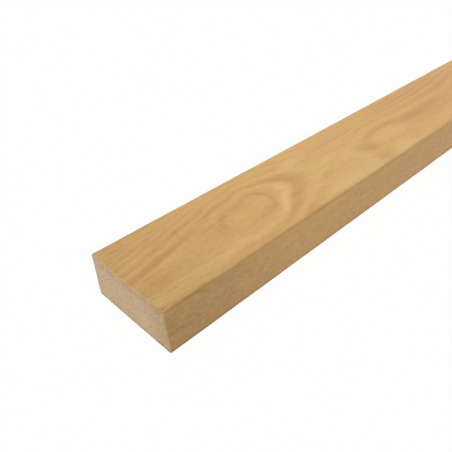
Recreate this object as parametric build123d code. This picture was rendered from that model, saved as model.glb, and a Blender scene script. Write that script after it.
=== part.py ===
from build123d import *
import os

# A length of planed timber in one piece, lying flat on a wide face.
# X runs along the grain, Y across the wide faces, and Z up through the thickness.
# The origin is the middle of the bottom face. All sizes are in millimetres.

# The size that comes out of the planer, and the length that the mill cuts it to.
LENGTH = 2400.0
WIDTH = 89.0
THICKNESS = 38.0

# The planer takes the sharpness off the four long corners, so that hands meet no sharp arris.
ARRIS_RADIUS = 1.5

# The saw leaves the ends square. Only the loose fibres round their edges are wiped off.
END_BREAK = 0.4


def planed_section():
    """The section across the grain, standing on Z = 0: a rectangle with eased corners."""
    outline = RectangleRounded(WIDTH, THICKNESS, ARRIS_RADIUS)
    return Plane.YZ * Pos(0, THICKNESS / 2) * outline


def end_edges(stock):
    """The edges round the two sawn ends."""
    faces_along_grain = stock.faces().sort_by(Axis.X)
    return faces_along_grain[0].edges() + faces_along_grain[-1].edges()


def plank():
    """The planed section run out to its length, cut square and wiped at both ends."""
    stock = extrude(planed_section(), LENGTH / 2, both=True)
    return chamfer(end_edges(stock), END_BREAK)


NODES = {"plank": plank()}

os.makedirs("parts", exist_ok=True)
for name, solid in NODES.items():
    solid.label = name
    export_step(solid, f"parts/{name}.step")
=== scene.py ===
import math
import random

import bmesh
import bpy
import numpy as np
from mathutils import Matrix, Vector


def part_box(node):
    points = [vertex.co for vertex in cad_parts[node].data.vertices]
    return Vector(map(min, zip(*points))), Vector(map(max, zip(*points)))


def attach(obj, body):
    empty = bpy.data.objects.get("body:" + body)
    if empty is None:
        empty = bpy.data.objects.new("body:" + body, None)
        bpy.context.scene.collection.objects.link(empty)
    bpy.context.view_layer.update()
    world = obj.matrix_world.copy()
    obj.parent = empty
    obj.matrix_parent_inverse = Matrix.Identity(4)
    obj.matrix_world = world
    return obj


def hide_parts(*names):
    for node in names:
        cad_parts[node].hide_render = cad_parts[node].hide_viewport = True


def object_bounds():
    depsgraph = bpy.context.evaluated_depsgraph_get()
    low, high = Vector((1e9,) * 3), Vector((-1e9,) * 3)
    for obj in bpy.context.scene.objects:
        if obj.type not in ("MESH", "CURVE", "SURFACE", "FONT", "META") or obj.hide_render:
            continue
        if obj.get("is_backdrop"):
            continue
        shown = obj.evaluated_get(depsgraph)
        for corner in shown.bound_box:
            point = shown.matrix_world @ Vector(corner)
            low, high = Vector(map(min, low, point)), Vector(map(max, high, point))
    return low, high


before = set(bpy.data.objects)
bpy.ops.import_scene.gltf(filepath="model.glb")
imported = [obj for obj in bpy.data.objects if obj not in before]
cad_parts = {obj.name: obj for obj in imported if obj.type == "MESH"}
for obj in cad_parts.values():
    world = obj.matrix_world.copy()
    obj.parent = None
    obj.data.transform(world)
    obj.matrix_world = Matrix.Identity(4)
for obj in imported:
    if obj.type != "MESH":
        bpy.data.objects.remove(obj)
cad_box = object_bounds()

# The plank, measured from the frame. Plain lengths are in metres, those that end in _MM in millimetres.
LOW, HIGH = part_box("plank")
LENGTH, WIDTH, THICKNESS = HIGH - LOW
MM = 0.001
LENGTH_MM, WIDTH_MM, THICKNESS_MM = (side / MM for side in (LENGTH, WIDTH, THICKNESS))

# The planed section and the sawn ends, as in the part.
ARRISES = 4
ARRIS_RADIUS_MM = 1.5
END_BREAK_MM = 0.4

# The mesh is finest along the end that shows, because that is what is looked at closely.
FINE_STRETCH_MM = 600.0
FINE_STEP_MM = 2.5
COARSE_STEP_MM = 6.0
FACE_STEP_MM = 2.0
ARRIS_STEPS = 6
END_RINGS = 24
WELD_MM = 0.001
PLANED, SAWN = 0, 1
SHARP_ANGLE = math.radians(30)

# How far the surface falls short of the full section, how long its waves are, and how much closer they
# follow each other round the plank than along it. All relief goes inwards.
PLANER_WAVE_MM = 0.05
PLANER_WAVE_LENGTH_MM = 160.0
PLANER_WAVE_CLOSER = 3.0
ARRIS_WEAR_MM = 0.2
ARRIS_WEAR_LENGTH_MM = 46.0
ARRIS_WEAR_CLOSER = 0.6
SAW_WAVE_MM = 0.16
SAW_WAVE_LENGTH_MM = 17.0
PLANER_SEED, WEAR_SEED, SAW_SEED, DENT_SEED = 3, 5, 7, 11

# Knocks on the long arrises, beyond the stretch that the photograph shows: how many, from where, how
# clear of the far end, how deep, and how far they reach along and round.
DENTS = 28
DENTS_FROM_MM = 500.0
DENTS_CLEAR_MM = 4.0
DENT_DEPTH_MM = (0.15, 0.5)
DENT_REACH_MM = (3.0, 9.0)
DENT_REACH_ROUND_MM = 2.6

# The near top arris is rubbed blunt where it meets the end that shows: which arris, how deep, and how
# far the rubbing reaches along and round it.
NEAR_TOP_ARRIS = 1
BLUNTED = (NEAR_TOP_ARRIS, 1.3, 34.0, 4.4)

# The two upper corners of that end: the near one is knocked in, and the saw ran out a little at the far
# one. The place across and up, how far in along the plank and across it, and how wide.
LOST_CORNERS = ((0.0, THICKNESS_MM, 0.5, 0.4, 6.0), (WIDTH_MM, THICKNESS_MM, 1.7, 0.0, 24.0))

# The bake layout: two half lengths of the unrolled plank above each other, and the two ends beside
# each other on top, with a gap between patches.
BAKE_GAP = 0.006

# The camera, fitted to the plank's corners in the photograph. Its place is counted in plank widths
# from the near bottom corner of the end that shows.
PICTURE_PX = 452
FOCAL_PX = 497.3
SENSOR_MM = 36.0
CAMERA_PLACE = (-1.233, -2.263, 2.806)
CAMERA_TURN = math.radians(50.236)
CAMERA_DROP = math.radians(34.206)
CAMERA_ROLL = math.radians(-6.047)

# The light: a bright overcast sky and one broad lamp high over the sawn end.
SKY = 0.40
LAMP_STRENGTH = 2.05
LAMP_SPREAD = math.radians(35)
LAMP_FROM = (-0.33, -0.08, 1.0)
FLOOR_REACH = 30.0
FLOOR_GREY = 0.82
FLOOR_GLOW = 0.93

# Wood colours, as they show under white light.
EARLY_WOOD = (216, 169, 111)
GOLDEN_WOOD = (207, 173, 102)
LATE_WOOD = (180, 134, 75)
SAWN_EARLY = (211, 184, 149)
SAWN_LATE = (176, 143, 97)
PALE_WOOD = (224, 190, 140)

# The stem that the plank was cut from. The heart of the tree lies below the plank, and each ring
# of growth is a shell round it. Where the shells swell towards the top face, the planer cuts them
# into ovals and flames.
HEART_DEPTH_MM = 100.0
INNER_RING_MM = 2.3
OUTER_RING_MM = 2.8
LEAN_SHARE = 0.14
LEAN_REACH_MM = 12.0
SWELL_FADE_MM = 45.0
TAPER = 0.011

# How far the rings stray from even shells, in slow turns and in fine ripples, and how much their
# spacing varies, in rings.
WANDER_MM = 1.1
RIPPLE_MM = 0.28
UNEVEN_RINGS = 0.5

# How strongly the dark lines of the rings show: on the whole, how much that differs from ring to ring
# and from patch to patch, and the least.
RING_STRENGTH = 0.5
RING_DIFFERENCE = 0.15
PATCH_DIFFERENCE = 1.6
LEAST_STRENGTH = 0.06

# The wood across one ring, from 0 on its inside to 1 on its outside. The dark late wood gathers and is
# full before the outside, and is gone a little way into the next ring: in each pair the first is for
# broad lines and the second for narrow ones. The early wood and the pale band lie in the middle, each
# with where it comes up and where it goes down.
LATE_GATHERS = (0.6, 0.74)
LATE_FULL = (0.84, 0.94)
LATE_GONE = (0.38, 0.2)
EARLY_UP, EARLY_DOWN = (0.3, 0.48), (0.74, 0.6)
PALE_UP, PALE_DOWN = (0.18, 0.36), (0.64, 0.46)

# Ages are counted in rings, outwards from the shell that would just touch the top face if nothing
# swelled. Going inwards, the dark lines turn narrow over the first pair, and the pale band comes in over
# the second.
NARROW_AGES = (-0.55, -0.8)
PALE_AGES = (0.05, -0.1)

# The figure on the stretch that the photograph shows: how far across the plank the crest of the
# shells lies, and how far they swell, at places along it. All in millimetres.
FIGURE_MM = 600.0
CREST = (
    (0, 17), (42, 25), (82, 35), (114, 40), (143, 45), (180, 47), (223, 42),
    (262, 31), (301, 31), (340, 33), (388, 33), (460, 40), (600, 44),
)
SWELL = (
    (0, -2.1), (42, -2.2), (82, -2.3), (104, -3.3), (115, -3.1), (126, -3.3), (143, -2.3), (160, -1.2),
    (180, 0), (223, 1.6), (243, 1.2), (260, 0), (277, -0.6), (301, -1.27), (340, -0.3), (388, 0),
    (460, 0.8), (600, 0),
)
SWELL_RANGE_MM = (-5.0, 5.0)

# Beyond that stretch the figure is made up, in kind: where it takes over, over what length the crest
# and the swelling change, and how far they swing.
MADE_UP_FROM_MM = 430.0
CREST_CHANGE_MM, CREST_SWING_MM = 380.0, 50.0
SWELL_CHANGE_MM, SWELL_SWING_MM = 240.0, 9.0

# Spots on the top face, each with its place along and across, how far it reaches along and across, and
# how much it adds: where the rings stand out or fade, where their pale band shows, where the wood is
# darker or paler, and where it is more or less golden.
RING_SPOTS = (
    # Lines that run in from the sawn end, and the plainer wood beside them.
    (21, 42, 33, 5, 0.6), (41, 45, 13, 4, 0.5), (19, 14, 48, 16, -0.5), (48, 68, 58, 14, -0.2),
    # The oval: its outer lines, its point and its near side, and then its inner line.
    (112, 66, 48, 5, 0.35), (150, 72, 30, 4, 0.3), (166, 50, 22, 17, 0.65), (146, 20, 29, 14, 0.45),
    (140, 52, 11, 6, 0.45), (110, 54, 22, 5, 0.2), (88, 38, 7, 6, 0.25), (144, 40, 6, 7, -0.2),
    (128, 23, 20, 6, -0.6), (96, 23, 18, 8, -0.45),
    # The second figure, and the plain wood round it.
    (318, 42, 55, 10, 0.35), (264, 28, 14, 12, 0.3), (305, 10, 45, 9, -0.45), (225, 18, 39, 34, -0.6),
    (291, 78, 107, 16, -0.3), (275, 57, 85, 7, -0.45),
)
BAND_SPOTS = ((146, 29, 22, 15, 0.45), (162, 45, 9, 9, 0.2), (95, 13, 30, 7, 0.2))
DARK_SPOTS = (
    # By the sawn end, with a dark strip along the near edge of the top.
    (17, 26, 12, 8, 0.2), (18, 0, 28, 3, 0.6), (73, 47, 14, 5, 0.12),
    # In the oval and beside it.
    (135, 42, 60, 45, 0.08), (172, 57, 12, 5, 0.15), (138, 56, 8, 4, 0.1), (126, 30, 9, 4, 0.1),
    (160, 1, 35, 5, 0.2),
    # Round the second figure.
    (260, 7, 12, 8, 0.42), (265, 27, 9, 7, 0.25), (262, 67, 39, 5, 0.16), (352, 37, 34, 6, 0.22),
    (349, 73, 58, 4, 0.15),
    # Where the photograph ends.
    (410, 55, 100, 50, 0.22), (470, 80, 50, 25, 0.15),
)
PALE_SPOTS = (
    # Along the near edge.
    (39, 12, 29, 5, 0.14), (60, 1, 60, 4, 0.1), (90, 12, 28, 4, 0.14), (204, 7, 39, 8, 0.25),
    (244, 10, 9, 4, 0.18), (275, 0, 80, 5, 0.2), (288, 9, 15, 6, 0.3),
    # Past the oval's point, and in the second figure.
    (192, 66, 17, 5, 0.4), (235, 42, 55, 45, 0.07), (305, 32, 26, 8, 0.1),
)
HUE_SPOTS = (
    (58, 30, 39, 20, 0.05), (110, 45, 80, 45, -0.1), (205, 35, 35, 40, 0.08), (417, 55, 87, 60, -0.35),
)

# The next pairs say where something starts and where it is full. The wood turns darker from this far from
# an end, and more so this far below the top. The lowest strip is darker with painted shade, the shade of
# the bottom arris that faces the floor, and the strip along the far edge is a little darker too. The dark
# and the pale spots stop a little below the top face.
END_DARKENING_MM = (160.0, -20.0)
SIDE_DARKENING_MM = (0.0, 7.0)
LOW_SHADE_STRIP_MM = (3.6, 1.8)
FAR_STRIP_MM = (WIDTH_MM - 4.0, WIDTH_MM - 1.5)
DARK_SPOTS_DEPTH_MM = (6.0, 2.0)
PALE_SPOTS_DEPTH_MM = (1.5, 0.5)

# How near to the top or the bottom a planed point counts as on a wide face.
WIDE_FACE_MM = (4.0, 1.0)

# Where the sawn end has yellowed: towards its near side, and towards its top.
NEAR_YELLOW_MM = (34.0, -4.0)
TOP_YELLOW_MM = (28.0, 37.0)

# The marks of the tools: the planer's scallops, and arcs of the saw's teeth, which swing round a point
# beyond the near bottom corner.
SCALLOP_PITCH_MM = 1.9
SCALLOP_DEPTH_MM = 0.0025
SAW_PITCH_MM = 2.3
SAW_CENTRE_MM = (-140.0, -260.0)


def waves(along, across, wavelength, seed, ripples=7, gain=1.6):
    """Smooth irregular waves over a surface, from about -1 to 1, made of a few crossing ripples."""
    chance = random.Random(seed)
    total = np.zeros(np.broadcast(along, across).shape)
    for _ in range(ripples):
        heading = chance.uniform(0, math.tau)
        phase = chance.uniform(0, math.tau)
        pace = math.tau / (wavelength * chance.uniform(0.6, 1.6))
        total += np.sin(pace * (along * math.cos(heading) + across * math.sin(heading)) + phase)
    return total / ripples * gain


def section_loop():
    """Points round the full section from its far bottom corner, and the distance round it.

    Each point's row holds its place across and up, the way it faces across and up, how far round
    it lies, and how deep in an arris: 0 on a flat face, 1 in the middle of a rounded corner.
    """
    half, radius = WIDTH_MM / 2, ARRIS_RADIUS_MM
    flat_width, flat_height = WIDTH_MM - 2 * radius, THICKNESS_MM - 2 * radius
    top = THICKNESS_MM - radius
    flats = (
        ((half - radius, radius), -90, (-1, 0), flat_width),
        ((radius - half, radius), 180, (0, 1), flat_height),
        ((radius - half, top), 90, (1, 0), flat_width),
        ((half - radius, top), 0, (0, -1), flat_height),
    )
    rows, travelled = [], 0.0

    def add_point(centre, facing, gone, arris):
        way = (math.cos(facing), math.sin(facing))
        place = (centre[0] + radius * way[0], centre[1] + radius * way[1])
        rows.append((*place, *way, travelled + gone, arris))

    for (centre_y, centre_z), facing_deg, (step_y, step_z), run in flats:
        facing = math.radians(facing_deg)
        steps = round(run / FACE_STEP_MM)
        for gone in (run * step / steps for step in range(steps)):
            add_point((centre_y + step_y * gone, centre_z + step_z * gone), facing, gone, 0.0)
        travelled += run
        corner = (centre_y + step_y * run, centre_z + step_z * run)
        for turned in (math.pi / 2 * step / ARRIS_STEPS for step in range(ARRIS_STEPS)):
            add_point(corner, facing - turned, radius * turned, math.sin(2 * turned))
        travelled += radius * math.pi / 2
    return np.array(rows), travelled


def stations():
    """Places along the plank for the section, in millimetres from the end that shows."""
    far_end = LENGTH_MM - END_BREAK_MM
    fine = np.arange(END_BREAK_MM, FINE_STRETCH_MM, FINE_STEP_MM)
    coarse = np.arange(FINE_STRETCH_MM, far_end - COARSE_STEP_MM / 2, COARSE_STEP_MM)
    return np.concatenate([fine, coarse, [far_end]])


def dents():
    """Knocks on the long arrises: place along, which arris, depth, and reach along and round it."""
    yield 0.0, *BLUNTED
    chance = random.Random(DENT_SEED)
    for _ in range(DENTS):
        place = chance.uniform(DENTS_FROM_MM, LENGTH_MM - DENTS_CLEAR_MM)
        which = chance.randrange(ARRISES)
        depth = chance.uniform(*DENT_DEPTH_MM)
        yield place, which, depth, chance.uniform(*DENT_REACH_MM), DENT_REACH_ROUND_MM


def planed_relief(along, section):
    """How far inside the full section each point of the planed faces and arrises lies."""
    around, arris = section[:, 4], section[:, 5]
    along = along[:, None]
    planer = waves(along, around * PLANER_WAVE_CLOSER, PLANER_WAVE_LENGTH_MM, PLANER_SEED)
    wear = waves(along, around * ARRIS_WEAR_CLOSER, ARRIS_WEAR_LENGTH_MM, WEAR_SEED)
    relief = PLANER_WAVE_MM * (1 + planer) / 2
    relief = relief + ARRIS_WEAR_MM * arris * np.clip((1 + wear) / 2, 0, 1)
    middles = around[np.isclose(arris, 1)]
    for place, which, depth, reach, reach_round in dents():
        away = ((along - place) / reach) ** 2 + ((around - middles[which]) / reach_round) ** 2
        relief = relief + depth * np.exp(-away)
    return np.maximum(relief, 0)


def lose_corners(points):
    """Pushes the points round the lost corners into the plank."""
    for across, up, depth_along, depth_round, reach in LOST_CORNERS:
        away = (points - (0.0, across - WIDTH_MM / 2, up)) / reach
        push = np.exp(-(away**2).sum(axis=1))
        sideways = math.copysign(depth_round, WIDTH_MM / 2 - across)
        points += push[:, None] * (depth_along, sideways, -depth_round)


class Stick:
    """Collects the plank's points and faces, each face with its finish and its patch in the bake."""

    def __init__(self, girth):
        self.points, self.faces, self.finishes, self.layout = [], [], [], []
        self.girth = girth
        self.scale_along = (1 - 2 * BAKE_GAP) / (LENGTH_MM / 2)
        self.scale_across = (1 - 4 * BAKE_GAP) / (2 * girth + THICKNESS_MM)

    def add_points(self, points):
        first = len(self.points)
        self.points.extend(points)
        return first

    def add_face(self, corners, finish, patch):
        self.faces.append(corners)
        self.finishes.append(finish)
        self.layout.extend(patch)

    def place_on_length(self, along, around, second_half):
        """Where a point of the unrolled length lies in the bake."""
        gone = along - (LENGTH_MM / 2 if second_half else 0)
        row = BAKE_GAP + (self.girth * self.scale_across + BAKE_GAP) * second_half
        return BAKE_GAP + gone * self.scale_along, row + around * self.scale_across

    def place_on_end(self, across, up, second_end):
        """Where a point of a sawn end lies in the bake."""
        column = BAKE_GAP + (WIDTH_MM * self.scale_across + BAKE_GAP) * second_end
        row = 1 - BAKE_GAP - THICKNESS_MM * self.scale_across
        return column + (across + WIDTH_MM / 2) * self.scale_across, row + up * self.scale_across


def build_plank():
    """The planed and sawn plank as one closed mesh."""
    section, girth = section_loop()
    along = stations()
    relief = planed_relief(along, section)
    rings = section[None, :, 0:2] - relief[:, :, None] * section[None, :, 2:4]
    stick = Stick(girth)
    count = len(section)
    around = np.append(section[:, 4], girth)

    starts = [
        stick.add_points(np.column_stack([np.full(count, x), ring])) for x, ring in zip(along, rings)
    ]
    halfway = np.searchsorted(along, LENGTH_MM / 2)
    for i in range(len(along) - 1):
        second = int(i >= halfway)
        for j in range(count):
            k = (j + 1) % count
            corners = (starts[i] + j, starts[i + 1] + j, starts[i + 1] + k, starts[i] + k)
            ways = ((i, j), (i + 1, j), (i + 1, j + 1), (i, j + 1))
            patch = [stick.place_on_length(along[a], around[b], second) for a, b in ways]
            stick.add_face(corners, PLANED, patch)

    add_sawn_end(stick, starts[0], rings[0], 0.0, 1)
    add_sawn_end(stick, starts[-1], rings[-1], LENGTH_MM, -1)
    return finish_mesh(stick)


def add_sawn_end(stick, outer, rim, face_x, inwards):
    """Closes an end with loops that shrink from the planed rim to the middle line of the section."""
    count = len(rim)
    reach = (WIDTH_MM - THICKNESS_MM) / 2
    core = np.column_stack([np.clip(rim[:, 0], -reach, reach), np.full(count, THICKNESS_MM / 2)])
    first_inset = END_BREAK_MM / (THICKNESS_MM / 2)
    before, before_place = outer, rim
    for ring in range(END_RINGS + 1):
        share = first_inset + (1 - first_inset) * ring / END_RINGS
        place = rim + (core - rim) * share
        saw = waves(place[:, 0], place[:, 1], SAW_WAVE_LENGTH_MM, SAW_SEED + inwards)
        depth = SAW_WAVE_MM * np.clip((1 + saw) / 2, 0, 1)
        start = stick.add_points(np.column_stack([face_x + inwards * depth, place]))
        for j in range(count):
            k = (j + 1) % count
            corners = [before + j, before + k, start + k, start + j]
            ways = (before_place[j], before_place[k], place[k], place[j])
            patch = [stick.place_on_end(*way, int(inwards < 0)) for way in ways]
            if inwards < 0:
                corners.reverse()
                patch.reverse()
            stick.add_face(tuple(corners), SAWN, patch)
        before, before_place = start, place


def finish_mesh(stick):
    """Turns the collected points into a mesh, welds the ends' middle lines and marks sharp edges."""
    points = np.array(stick.points)
    lose_corners(points)
    points[:, 0] -= LENGTH_MM / 2
    mesh = bpy.data.meshes.new("plank_planed")
    mesh.from_pydata((points * MM).tolist(), [], stick.faces)
    mesh.polygons.foreach_set("material_index", stick.finishes)
    layout = mesh.uv_layers.new(name="OFBake")
    layout.uv.foreach_set("vector", np.array(stick.layout, dtype=np.float32).ravel())

    working = bmesh.new()
    working.from_mesh(mesh)
    bmesh.ops.remove_doubles(working, verts=working.verts, dist=WELD_MM * MM)
    for face in working.faces:
        face.smooth = True
    for edge in working.edges:
        edge.smooth = edge.calc_face_angle(0) < SHARP_ANGLE
    working.to_mesh(mesh)
    working.free()
    return mesh


# Node trees.


class Wire:
    """A value on its way through a node tree. Sums on wires place the nodes that work them out."""

    def __init__(self, tree, socket):
        self.tree, self.socket = tree, socket

    def math(self, operation, *terms):
        node = add_node(self.tree, "ShaderNodeMath", dict(enumerate(terms)), operation=operation)
        return Wire(self.tree, node.outputs[0])

    def __add__(self, other):
        return self.math("ADD", self, other)

    def __sub__(self, other):
        return self.math("SUBTRACT", self, other)

    def __rsub__(self, other):
        return self.math("SUBTRACT", other, self)

    def __mul__(self, other):
        return self.math("MULTIPLY", self, other)

    def __truediv__(self, other):
        return self.math("DIVIDE", self, other)

    __radd__ = __add__
    __rmul__ = __mul__

    def call(self, operation, *terms):
        return self.math(operation, self, *terms)

    def rise(self, low, high):
        """0 below low, 1 above high, and a smooth rise between them; a fall where low is the larger."""
        feeds = {"Value": self, "From Min": low, "From Max": high}
        node = add_node(self.tree, "ShaderNodeMapRange", feeds, interpolation_type="SMOOTHSTEP")
        return Wire(self.tree, node.outputs["Result"])


def add_node(tree, kind, feeds=None, **settings):
    """Places a node, sets it up, and feeds its inputs, by name or number, with wires or plain values."""
    node = tree.nodes.new(kind)
    for name, value in settings.items():
        setattr(node, name, value)
    for key, value in (feeds or {}).items():
        if isinstance(value, Wire):
            tree.links.new(value.socket, node.inputs[key])
        else:
            node.inputs[key].default_value = value
    return node


def blend(low, high, share):
    """Goes from low to high as share goes from 0 to 1."""
    return low + (high - low) * share


def split(place):
    """The three numbers of a vector, as wires."""
    node = add_node(place.tree, "ShaderNodeSeparateXYZ", {0: place})
    return [Wire(place.tree, socket) for socket in node.outputs]


def join(x, y, z):
    """A vector of a wire and two more wires or numbers."""
    node = add_node(x.tree, "ShaderNodeCombineXYZ", {0: x, 1: y, 2: z})
    return Wire(x.tree, node.outputs[0])


def stretched(place, sizes):
    """A place counted in cells of the given sizes along the plank, across it and up through it."""
    feeds = {0: place, 1: tuple(1 / size for size in sizes)}
    node = add_node(place.tree, "ShaderNodeVectorMath", feeds, operation="MULTIPLY")
    return Wire(place.tree, node.outputs[0])


def noise(place, sizes, detail=2.0, roughness=0.5, seed=0.0):
    """Smooth noise about a middle of 0, mostly within half either way, in cells of the given sizes."""
    feeds = {
        "Vector": stretched(place, sizes),
        "W": seed,
        "Scale": 1.0,
        "Detail": detail,
        "Roughness": roughness,
    }
    node = add_node(place.tree, "ShaderNodeTexNoise", feeds, noise_dimensions="4D")
    return Wire(place.tree, node.outputs[0]) - 0.5


def noise_along(distance, seed, detail=1.0):
    """Smooth noise about a middle of 0 on a single number."""
    feeds = {"W": distance + seed, "Scale": 1.0, "Detail": detail}
    node = add_node(distance.tree, "ShaderNodeTexNoise", feeds, noise_dimensions="1D")
    return Wire(distance.tree, node.outputs[0]) - 0.5


def drawn_curve(distance, points, reach, low, high):
    """A smooth curve through given points, read at a distance from 0 to reach."""
    node = add_node(distance.tree, "ShaderNodeFloatCurve", {"Value": distance / reach})
    curve = node.mapping.curves[0]
    first, *between, last = [(x / reach, (y - low) / (high - low)) for x, y in points]
    curve.points[0].location = first
    curve.points[-1].location = last
    for point in between:
        curve.points.new(*point)
    node.mapping.update()
    return Wire(distance.tree, node.outputs[0]) * (high - low) + low


def tint(colour, strength):
    """A colour made brighter or darker by a wire."""
    feeds = {0: colour, "Scale": strength}
    node = add_node(colour.tree, "ShaderNodeVectorMath", feeds, operation="SCALE")
    return Wire(colour.tree, node.outputs[0])


def mixed(first, second, share):
    """A colour between two others."""
    tree = share.tree
    node = add_node(tree, "ShaderNodeMix", {"Factor": share}, data_type="RGBA")
    for name, value in (("A", first), ("B", second)):
        socket = next(s for s in node.inputs if s.name == name and s.type == "RGBA")
        if isinstance(value, Wire):
            tree.links.new(value.socket, socket)
        else:
            socket.default_value = value
    return Wire(tree, next(s for s in node.outputs if s.type == "RGBA"))


def linear(colour):
    """A colour written as 0 to 255 on a screen, in the linear form that shaders take."""

    def one(value):
        value /= 255
        return value / 12.92 if value <= 0.04045 else ((value + 0.055) / 1.055) ** 2.4

    return (*(one(value) for value in colour), 1.0)


def new_group(name, inputs, outputs):
    """An empty node group with named inputs, each with its kind and a plain value, and named outputs."""
    tree = bpy.data.node_groups.new(name, "ShaderNodeTree")
    for label, kind, value in inputs:
        socket = tree.interface.new_socket(label, in_out="INPUT", socket_type=f"NodeSocket{kind}")
        if value is not None:
            socket.default_value = value
    for label, kind in outputs:
        tree.interface.new_socket(label, in_out="OUTPUT", socket_type=f"NodeSocket{kind}")
    inlet = tree.nodes.new("NodeGroupInput")
    outlet = tree.nodes.new("NodeGroupOutput")
    given = {label: Wire(tree, inlet.outputs[label]) for label, _, _ in inputs}

    def give(**results):
        for label, wire in results.items():
            tree.links.new(wire.socket, outlet.inputs[label.replace("_", " ")])

    return tree, given, give


def use_group(tree, group, **feeds):
    """Places a group in a material with its own values, and returns its outputs by name."""
    node = tree.nodes.new("ShaderNodeGroup")
    node.node_tree = group
    for label, value in feeds.items():
        socket = node.inputs[label.replace("_", " ")]
        if isinstance(value, Wire):
            tree.links.new(value.socket, socket)
        else:
            socket.default_value = value
    return {output.name: Wire(tree, output) for output in node.outputs}


# The wood.


def spots(along, across, chosen):
    """The sum of soft spots on the plank, each as strong as its amount in the middle and gone far away."""
    total = None
    for middle_along, middle_across, reach_along, reach_across, amount in chosen:
        gone_along = (along - middle_along) / reach_along
        gone_across = (across - middle_across) / reach_across
        away = gone_along * gone_along + gone_across * gone_across
        spot = (away * -1.0).call("EXPONENT") * amount
        total = spot if total is None else total + spot
    return total


def growth_rings_group():
    """The rings of growth through the whole solid, so that faces, edges and ends show one tree."""
    tree, given, give = new_group(
        "Growth rings",
        [("Place", "Vector", None)],
        [(name, "Float") for name in ("Late Wood", "Early Wood", "Pale Band", "Lean", "Height")],
    )
    along, across, up = split(given["Place"])
    near_crest = drawn_curve(along, CREST, FIGURE_MM, 0.0, WIDTH_MM)
    near_swell = drawn_curve(along, SWELL, FIGURE_MM, *SWELL_RANGE_MM)
    far_crest = WIDTH_MM / 2 + noise_along(along / CREST_CHANGE_MM, seed=3.7) * CREST_SWING_MM
    far_swell = noise_along(along / SWELL_CHANGE_MM, seed=8.2) * SWELL_SWING_MM
    far_swell = far_swell + (along - FIGURE_MM) * TAPER
    beyond = along.rise(MADE_UP_FROM_MM, FIGURE_MM)
    crest = blend(near_crest, far_crest, beyond)
    swell = blend(near_swell, far_swell, beyond)

    off_crest = across - crest
    lean = 1 - LEAN_SHARE + (off_crest / LEAN_REACH_MM).call("TANH") * LEAN_SHARE
    sideways = off_crest * lean
    above_heart = up + (HEART_DEPTH_MM - THICKNESS_MM)
    from_heart = (sideways * sideways + above_heart * above_heart).call("SQRT")
    depth = THICKNESS_MM - up
    fade = (depth / -SWELL_FADE_MM).call("EXPONENT")
    wander = noise(given["Place"], (70, 16, 16), seed=1.3) * WANDER_MM
    ripple = noise(given["Place"], (18, 3.5, 3.5), detail=1.0, seed=4.1) * RIPPLE_MM
    level = from_heart - HEART_DEPTH_MM + swell * fade + wander + ripple

    outside = level.call("MAXIMUM", 0.0)
    steady = level / INNER_RING_MM + outside * (1 / OUTER_RING_MM - 1 / INNER_RING_MM)
    age = steady + noise_along(steady * 0.45, seed=20.3) * UNEVEN_RINGS
    phase = age.call("FRACT")
    ring = (age + 0.5).call("FLOOR")
    by_ring = (ring * 5.6).call("COSINE") * RING_DIFFERENCE
    by_patch = noise(given["Place"], (110, 9, 9), detail=1.0, seed=6.4) * PATCH_DIFFERENCE
    by_spot = spots(along, across, RING_SPOTS) * fade
    strength = (RING_STRENGTH + by_ring + by_patch + by_spot).call("MAXIMUM", LEAST_STRENGTH)

    narrow = age.rise(*NARROW_AGES)
    gathering = phase.rise(blend(*LATE_GATHERS, narrow), blend(*LATE_FULL, narrow))
    ending = phase.rise(blend(*LATE_GONE, narrow), 0.0)
    late = gathering.call("MAXIMUM", ending) * strength
    early = phase.rise(*EARLY_UP) * phase.rise(*EARLY_DOWN) * strength
    pale = phase.rise(*PALE_UP) * phase.rise(*PALE_DOWN) * age.rise(*PALE_AGES)
    pale = pale * spots(along, across, BAND_SPOTS) * fade
    give(Late_Wood=late, Early_Wood=early, Pale_Band=pale, Lean=sideways, Height=above_heart)
    return tree


def fibres_group():
    """Streaks of fibre along the grain, coarse, middling and fine, about a middle of 0."""
    tree, given, give = new_group(
        "Fibres",
        [("Place", "Vector", None), ("Seed", "Float", 0.0)],
        [("Coarse", "Float"), ("Middling", "Float"), ("Fine", "Float"), ("Torn", "Float")],
    )
    place = given["Place"]
    seed = given["Seed"]
    coarse = noise(place, (130, 3.2, 3.2), detail=3.0, roughness=0.55, seed=seed)
    middling = noise(place, (20, 2.0, 2.0), roughness=0.6, seed=seed + 2.5)
    fine = noise(place, (34, 0.6, 0.6), detail=3.0, roughness=0.6, seed=seed + 5.0)
    tears = noise(place, (15, 1.7, 1.7), seed=seed + 7.5)
    give(Coarse=coarse, Middling=middling, Fine=fine, Torn=tears.rise(0.08, 0.24))
    return tree


def vessels_group():
    """Open vessels and resin lines: dashes on the long faces, and dots on the ends."""
    tree, given, give = new_group(
        "Vessels",
        [("Place", "Vector", None), ("Share", "Float", 0.3), ("Thickness", "Float", 0.15)],
        [("Mark", "Float")],
    )
    cells = stretched(given["Place"], (16, 1.5, 1.5))
    feeds = {"Vector": cells, "Scale": 1.0}
    node = add_node(tree, "ShaderNodeTexVoronoi", feeds, voronoi_dimensions="3D", feature="F1")
    distance = Wire(tree, node.outputs["Distance"])
    lot = split(Wire(tree, node.outputs["Color"]))[0]
    chosen = lot.rise(given["Share"] + 0.02, given["Share"] - 0.02)
    mark = distance.rise(given["Thickness"] * 1.5, given["Thickness"] * 0.5)
    give(Mark=mark * chosen)
    return tree


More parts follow.
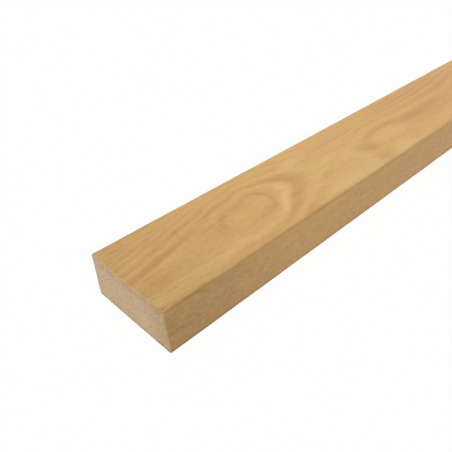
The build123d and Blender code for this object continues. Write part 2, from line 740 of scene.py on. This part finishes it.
def mottling_group():
    """Soft clouds of lighter and darker wood, specks, darkening towards both ends, painted shade along the
    lowest strip, and a darker strip along the far edge.
    """
    tree, given, give = new_group(
        "Mottling",
        [
            ("Place", "Vector", None),
            ("Clouds", "Float", 1.0),
            ("Specks", "Float", 1.0),
            ("Grime", "Float", 1.0),
        ],
        [(name, "Float") for name in ("Tone", "Golden", "Near End", "Dark Spots", "Pale Spots")],
    )
    place = given["Place"]
    along, across, up = split(place)
    depth = THICKNESS_MM - up
    clouds = noise(place, (75, 26, 26), seed=7.7) * given["Clouds"]
    specks = noise(place, (5, 2.0, 2.0), roughness=0.6, seed=2.9) * given["Specks"]
    near_end = along.call("MINIMUM", LENGTH_MM - along).rise(*END_DARKENING_MM)
    # Darker towards both ends, and more so on the sides below the top.
    end_darkening = near_end * (1 + depth.rise(*SIDE_DARKENING_MM) * 0.55) * given["Grime"]
    # Painted shade: the lowest strip is darkened as the bottom arris that faces the floor is shaded; the
    # strip along the far edge is darkened a little too.
    low_shade_and_far_strip = up.rise(*LOW_SHADE_STRIP_MM) * 0.18 + across.rise(*FAR_STRIP_MM) * 0.06
    hue = noise(place, (30, 10, 10), detail=3.0, roughness=0.6, seed=11.2)
    hue = hue + spots(along, across, HUE_SPOTS)
    give(
        Tone=1 + clouds * 0.1 + specks * 0.25 - end_darkening * 0.16 - low_shade_and_far_strip,
        Golden=hue.rise(-0.22, 0.22),
        Near_End=near_end,
        Dark_Spots=spots(along, across, DARK_SPOTS) * depth.rise(*DARK_SPOTS_DEPTH_MM),
        Pale_Spots=spots(along, across, PALE_SPOTS) * depth.rise(*PALE_SPOTS_DEPTH_MM),
    )
    return tree


def place_on_plank(tree):
    """Where a shaded point lies, in millimetres from the near bottom corner of the end that shows."""
    where = add_node(tree, "ShaderNodeTexCoord").outputs["Object"]
    feeds = {0: Wire(tree, where), 1: (1 / MM,) * 3, 2: tuple(-edge / MM for edge in LOW)}
    node = add_node(tree, "ShaderNodeVectorMath", feeds, operation="MULTIPLY_ADD")
    return Wire(tree, node.outputs[0])


def new_material(name):
    """A material with an empty Principled shader, and its tree."""
    material = bpy.data.materials.new(name)
    material.use_nodes = True
    tree = material.node_tree
    return material, tree, tree.nodes["Principled BSDF"]


def wire_shader(tree, shader, colour, roughness, height_mm):
    """Feeds the finish to the shader, with the height as a bump."""
    feeds = {"Height": height_mm, "Distance": MM}
    bump = add_node(tree, "ShaderNodeBump", feeds)
    tree.links.new(colour.socket, shader.inputs["Base Color"])
    tree.links.new(roughness.socket, shader.inputs["Roughness"])
    tree.links.new(bump.outputs["Normal"], shader.inputs["Normal"])


def planed_finish(groups):
    """Bare planed timber: the figure of the rings, streaks, vessel dashes and the planer's scallops."""
    material, tree, shader = new_material("planed_timber")
    shader.inputs["Specular IOR Level"].default_value = 0.35
    place = place_on_plank(tree)
    along, _, up = split(place)
    rings = use_group(tree, groups["rings"], Place=place)
    fibres = use_group(tree, groups["fibres"], Place=place, Seed=1.0)
    vessels = use_group(tree, groups["vessels"], Place=place, Share=0.28, Thickness=0.13)["Mark"]
    wide_face = up.call("MINIMUM", THICKNESS_MM - up).rise(*WIDE_FACE_MM)
    specks = blend(2.2, 1.1, wide_face)
    mottling = use_group(tree, groups["mottling"], Place=place, Clouds=1.0, Specks=specks, Grime=1.0)
    figure = blend(0.35, 1.0, wide_face)

    golden = mottling["Golden"] * blend(0.45, 1.0, wide_face)
    ring_lines = rings["Late Wood"] * figure * 0.36
    torn = fibres["Torn"] * (0.12 + mottling["Near End"] * 0.5)
    dark = ring_lines + blend(0.15, 0.2, wide_face) + fibres["Coarse"] * 0.35 + torn
    plain_wood = mixed(linear(EARLY_WOOD), linear(GOLDEN_WOOD), golden)
    dark_wood = mixed(plain_wood, linear(LATE_WOOD), dark + mottling["Dark Spots"])
    wood = mixed(dark_wood, linear(PALE_WOOD), rings["Pale Band"] + mottling["Pale Spots"])

    streaks = fibres["Middling"] * 0.24 + fibres["Fine"] * 0.16
    blotches = noise(place, (16, 7, 7), roughness=0.6, seed=8.1) * (1 - wide_face) * 0.22
    early = rings["Early Wood"] * figure * 0.04
    colour = tint(wood, mottling["Tone"] + early + streaks + blotches - vessels * 0.16)
    roughness = 0.56 - rings["Late Wood"] * 0.06 + fibres["Fine"] * 0.12 + vessels * 0.1

    scallops = (along * (math.tau / SCALLOP_PITCH_MM) + fibres["Coarse"] * 2.0).call("SINE")
    grain = rings["Late Wood"] * 0.02 + fibres["Fine"] * 0.03 - vessels * 0.07 - torn * 0.05
    wire_shader(tree, shader, colour, roughness, grain + scallops * SCALLOP_DEPTH_MM)
    return material


def sawn_finish(groups):
    """Sawn end grain: rings cut across, vessels end on, rays, and the marks of the saw."""
    material, tree, shader = new_material("sawn_end_grain")
    shader.inputs["Specular IOR Level"].default_value = 0.2
    place = place_on_plank(tree)
    rings = use_group(tree, groups["rings"], Place=place)
    fibres = use_group(tree, groups["fibres"], Place=place, Seed=9.0)
    vessels = use_group(tree, groups["vessels"], Place=place, Share=0.6, Thickness=0.2)["Mark"]
    tone = use_group(tree, groups["mottling"], Place=place, Clouds=1.8, Specks=3.2, Grime=0.0)["Tone"]

    heading = rings["Lean"] / rings["Height"]
    fan = join(heading * 100, rings["Height"] * 0.04, 0.0)
    rays = noise(fan, (0.7, 1, 1), seed=3.3)
    _, across, up = split(place)
    swing_y, swing_z = across - SAW_CENTRE_MM[0], up - SAW_CENTRE_MM[1]
    sweep = (swing_y * swing_y + swing_z * swing_z).call("SQRT")
    unsteady = noise(place, (5, 30, 30), seed=6.1) * 4
    bite = 0.6 + noise(place, (5, 14, 14), detail=1.0, seed=2.2)
    saw = (sweep * (math.tau / SAW_PITCH_MM) + unsteady).call("SINE") * bite

    yellowed = across.rise(*NEAR_YELLOW_MM) * 0.45 + up.rise(*TOP_YELLOW_MM) * 0.2
    dark = rings["Late Wood"] * 0.3 + 0.1 + fibres["Coarse"] * 0.4 + yellowed
    wood = mixed(linear(SAWN_EARLY), linear(SAWN_LATE), dark)
    blotches = noise(place, (5, 8, 6), roughness=0.6, seed=8.8) * 0.17
    light = tone + blotches + fibres["Fine"] * 0.2 + rays * 0.3 + saw * 0.018 - vessels * 0.12
    roughness = 0.78 + fibres["Fine"] * 0.1
    height = saw * 0.012 + fibres["Fine"] * 0.06 - vessels * 0.08
    wire_shader(tree, shader, tint(wood, light), roughness, height)
    return material


# The studio.


def seen_directly(tree):
    """1 for what the camera sees, straight or in a shine or through glass, and 0 for light on things."""
    path = add_node(tree, "ShaderNodeLightPath")
    seen = Wire(tree, path.outputs["Is Camera Ray"])
    for name in ("Is Glossy Ray", "Is Transmission Ray"):
        seen = seen.call("MAXIMUM", Wire(tree, path.outputs[name]))
    return seen


def lay_floor():
    """A wide pale floor that shows white and keeps the plank's soft shadow."""
    bpy.ops.mesh.primitive_plane_add(size=FLOOR_REACH, location=(0, 0, 0))
    floor = bpy.context.object
    floor.name = "studio_floor"
    material = bpy.data.materials.new("studio_floor")
    material.use_nodes = True
    tree = material.node_tree
    tree.nodes.clear()
    paint = add_node(tree, "ShaderNodeBsdfDiffuse", {"Color": (FLOOR_GREY,) * 3 + (1.0,)})
    glow = add_node(tree, "ShaderNodeEmission", {"Color": (1.0,) * 4, "Strength": 1.0})
    share = seen_directly(tree) * FLOOR_GLOW
    mix = add_node(tree, "ShaderNodeMixShader", {0: share})
    tree.links.new(paint.outputs[0], mix.inputs[1])
    tree.links.new(glow.outputs[0], mix.inputs[2])
    output = add_node(tree, "ShaderNodeOutputMaterial")
    tree.links.new(mix.outputs[0], output.inputs["Surface"])
    floor.data.materials.append(material)
    floor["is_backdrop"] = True


def light_studio():
    """A plain sky that shows white, and one broad lamp."""
    world = bpy.data.worlds.new("studio")
    bpy.context.scene.world = world
    world.use_nodes = True
    tree = world.node_tree
    tree.nodes.clear()
    strength = blend(SKY, 1.0, seen_directly(tree))
    sky = add_node(tree, "ShaderNodeBackground", {"Color": (1.0,) * 4, "Strength": strength})
    output = add_node(tree, "ShaderNodeOutputWorld")
    tree.links.new(sky.outputs[0], output.inputs["Surface"])

    lamp = bpy.data.lights.new("broad_lamp", "SUN")
    lamp.energy = LAMP_STRENGTH
    lamp.angle = LAMP_SPREAD
    holder = bpy.data.objects.new("broad_lamp", lamp)
    holder.rotation_euler = Vector(LAMP_FROM).to_track_quat("Z", "Y").to_euler()
    bpy.context.scene.collection.objects.link(holder)


def set_camera():
    """The camera where the photograph was taken from."""
    flat = Vector((math.cos(CAMERA_TURN), math.sin(CAMERA_TURN), 0))
    forward = flat * math.cos(CAMERA_DROP) - Vector((0, 0, math.sin(CAMERA_DROP)))
    level_right = Vector((math.sin(CAMERA_TURN), -math.cos(CAMERA_TURN), 0))
    level_up = level_right.cross(forward)
    right = level_right * math.cos(CAMERA_ROLL) + level_up * math.sin(CAMERA_ROLL)
    up = level_up * math.cos(CAMERA_ROLL) - level_right * math.sin(CAMERA_ROLL)
    data = bpy.data.cameras.new("camera")
    data.sensor_width = SENSOR_MM
    data.lens = SENSOR_MM * FOCAL_PX / PICTURE_PX
    data.clip_start, data.clip_end = 0.01, 100.0
    camera = bpy.data.objects.new("camera", data)
    turn = Matrix((right, up, -forward)).transposed()
    place = LOW + Vector(CAMERA_PLACE) * WIDTH
    camera.matrix_world = Matrix.Translation(place) @ turn.to_4x4()
    bpy.context.scene.collection.objects.link(camera)
    bpy.context.scene.camera = camera


set_camera()
wood_groups = {
    "rings": growth_rings_group(),
    "fibres": fibres_group(),
    "vessels": vessels_group(),
    "mottling": mottling_group(),
}
plank = bpy.data.objects.new("plank_planed", build_plank())
plank.data.materials.append(planed_finish(wood_groups))
plank.data.materials.append(sawn_finish(wood_groups))
bpy.context.scene.collection.objects.link(plank)
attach(plank, "root")
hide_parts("plank")
lay_floor()
light_studio()
bpy.context.scene.view_settings.view_transform = "Standard"

boxes = {"cad": cad_box, "visual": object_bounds()}
{name: [list(corner) for corner in box] for name, box in boxes.items()}
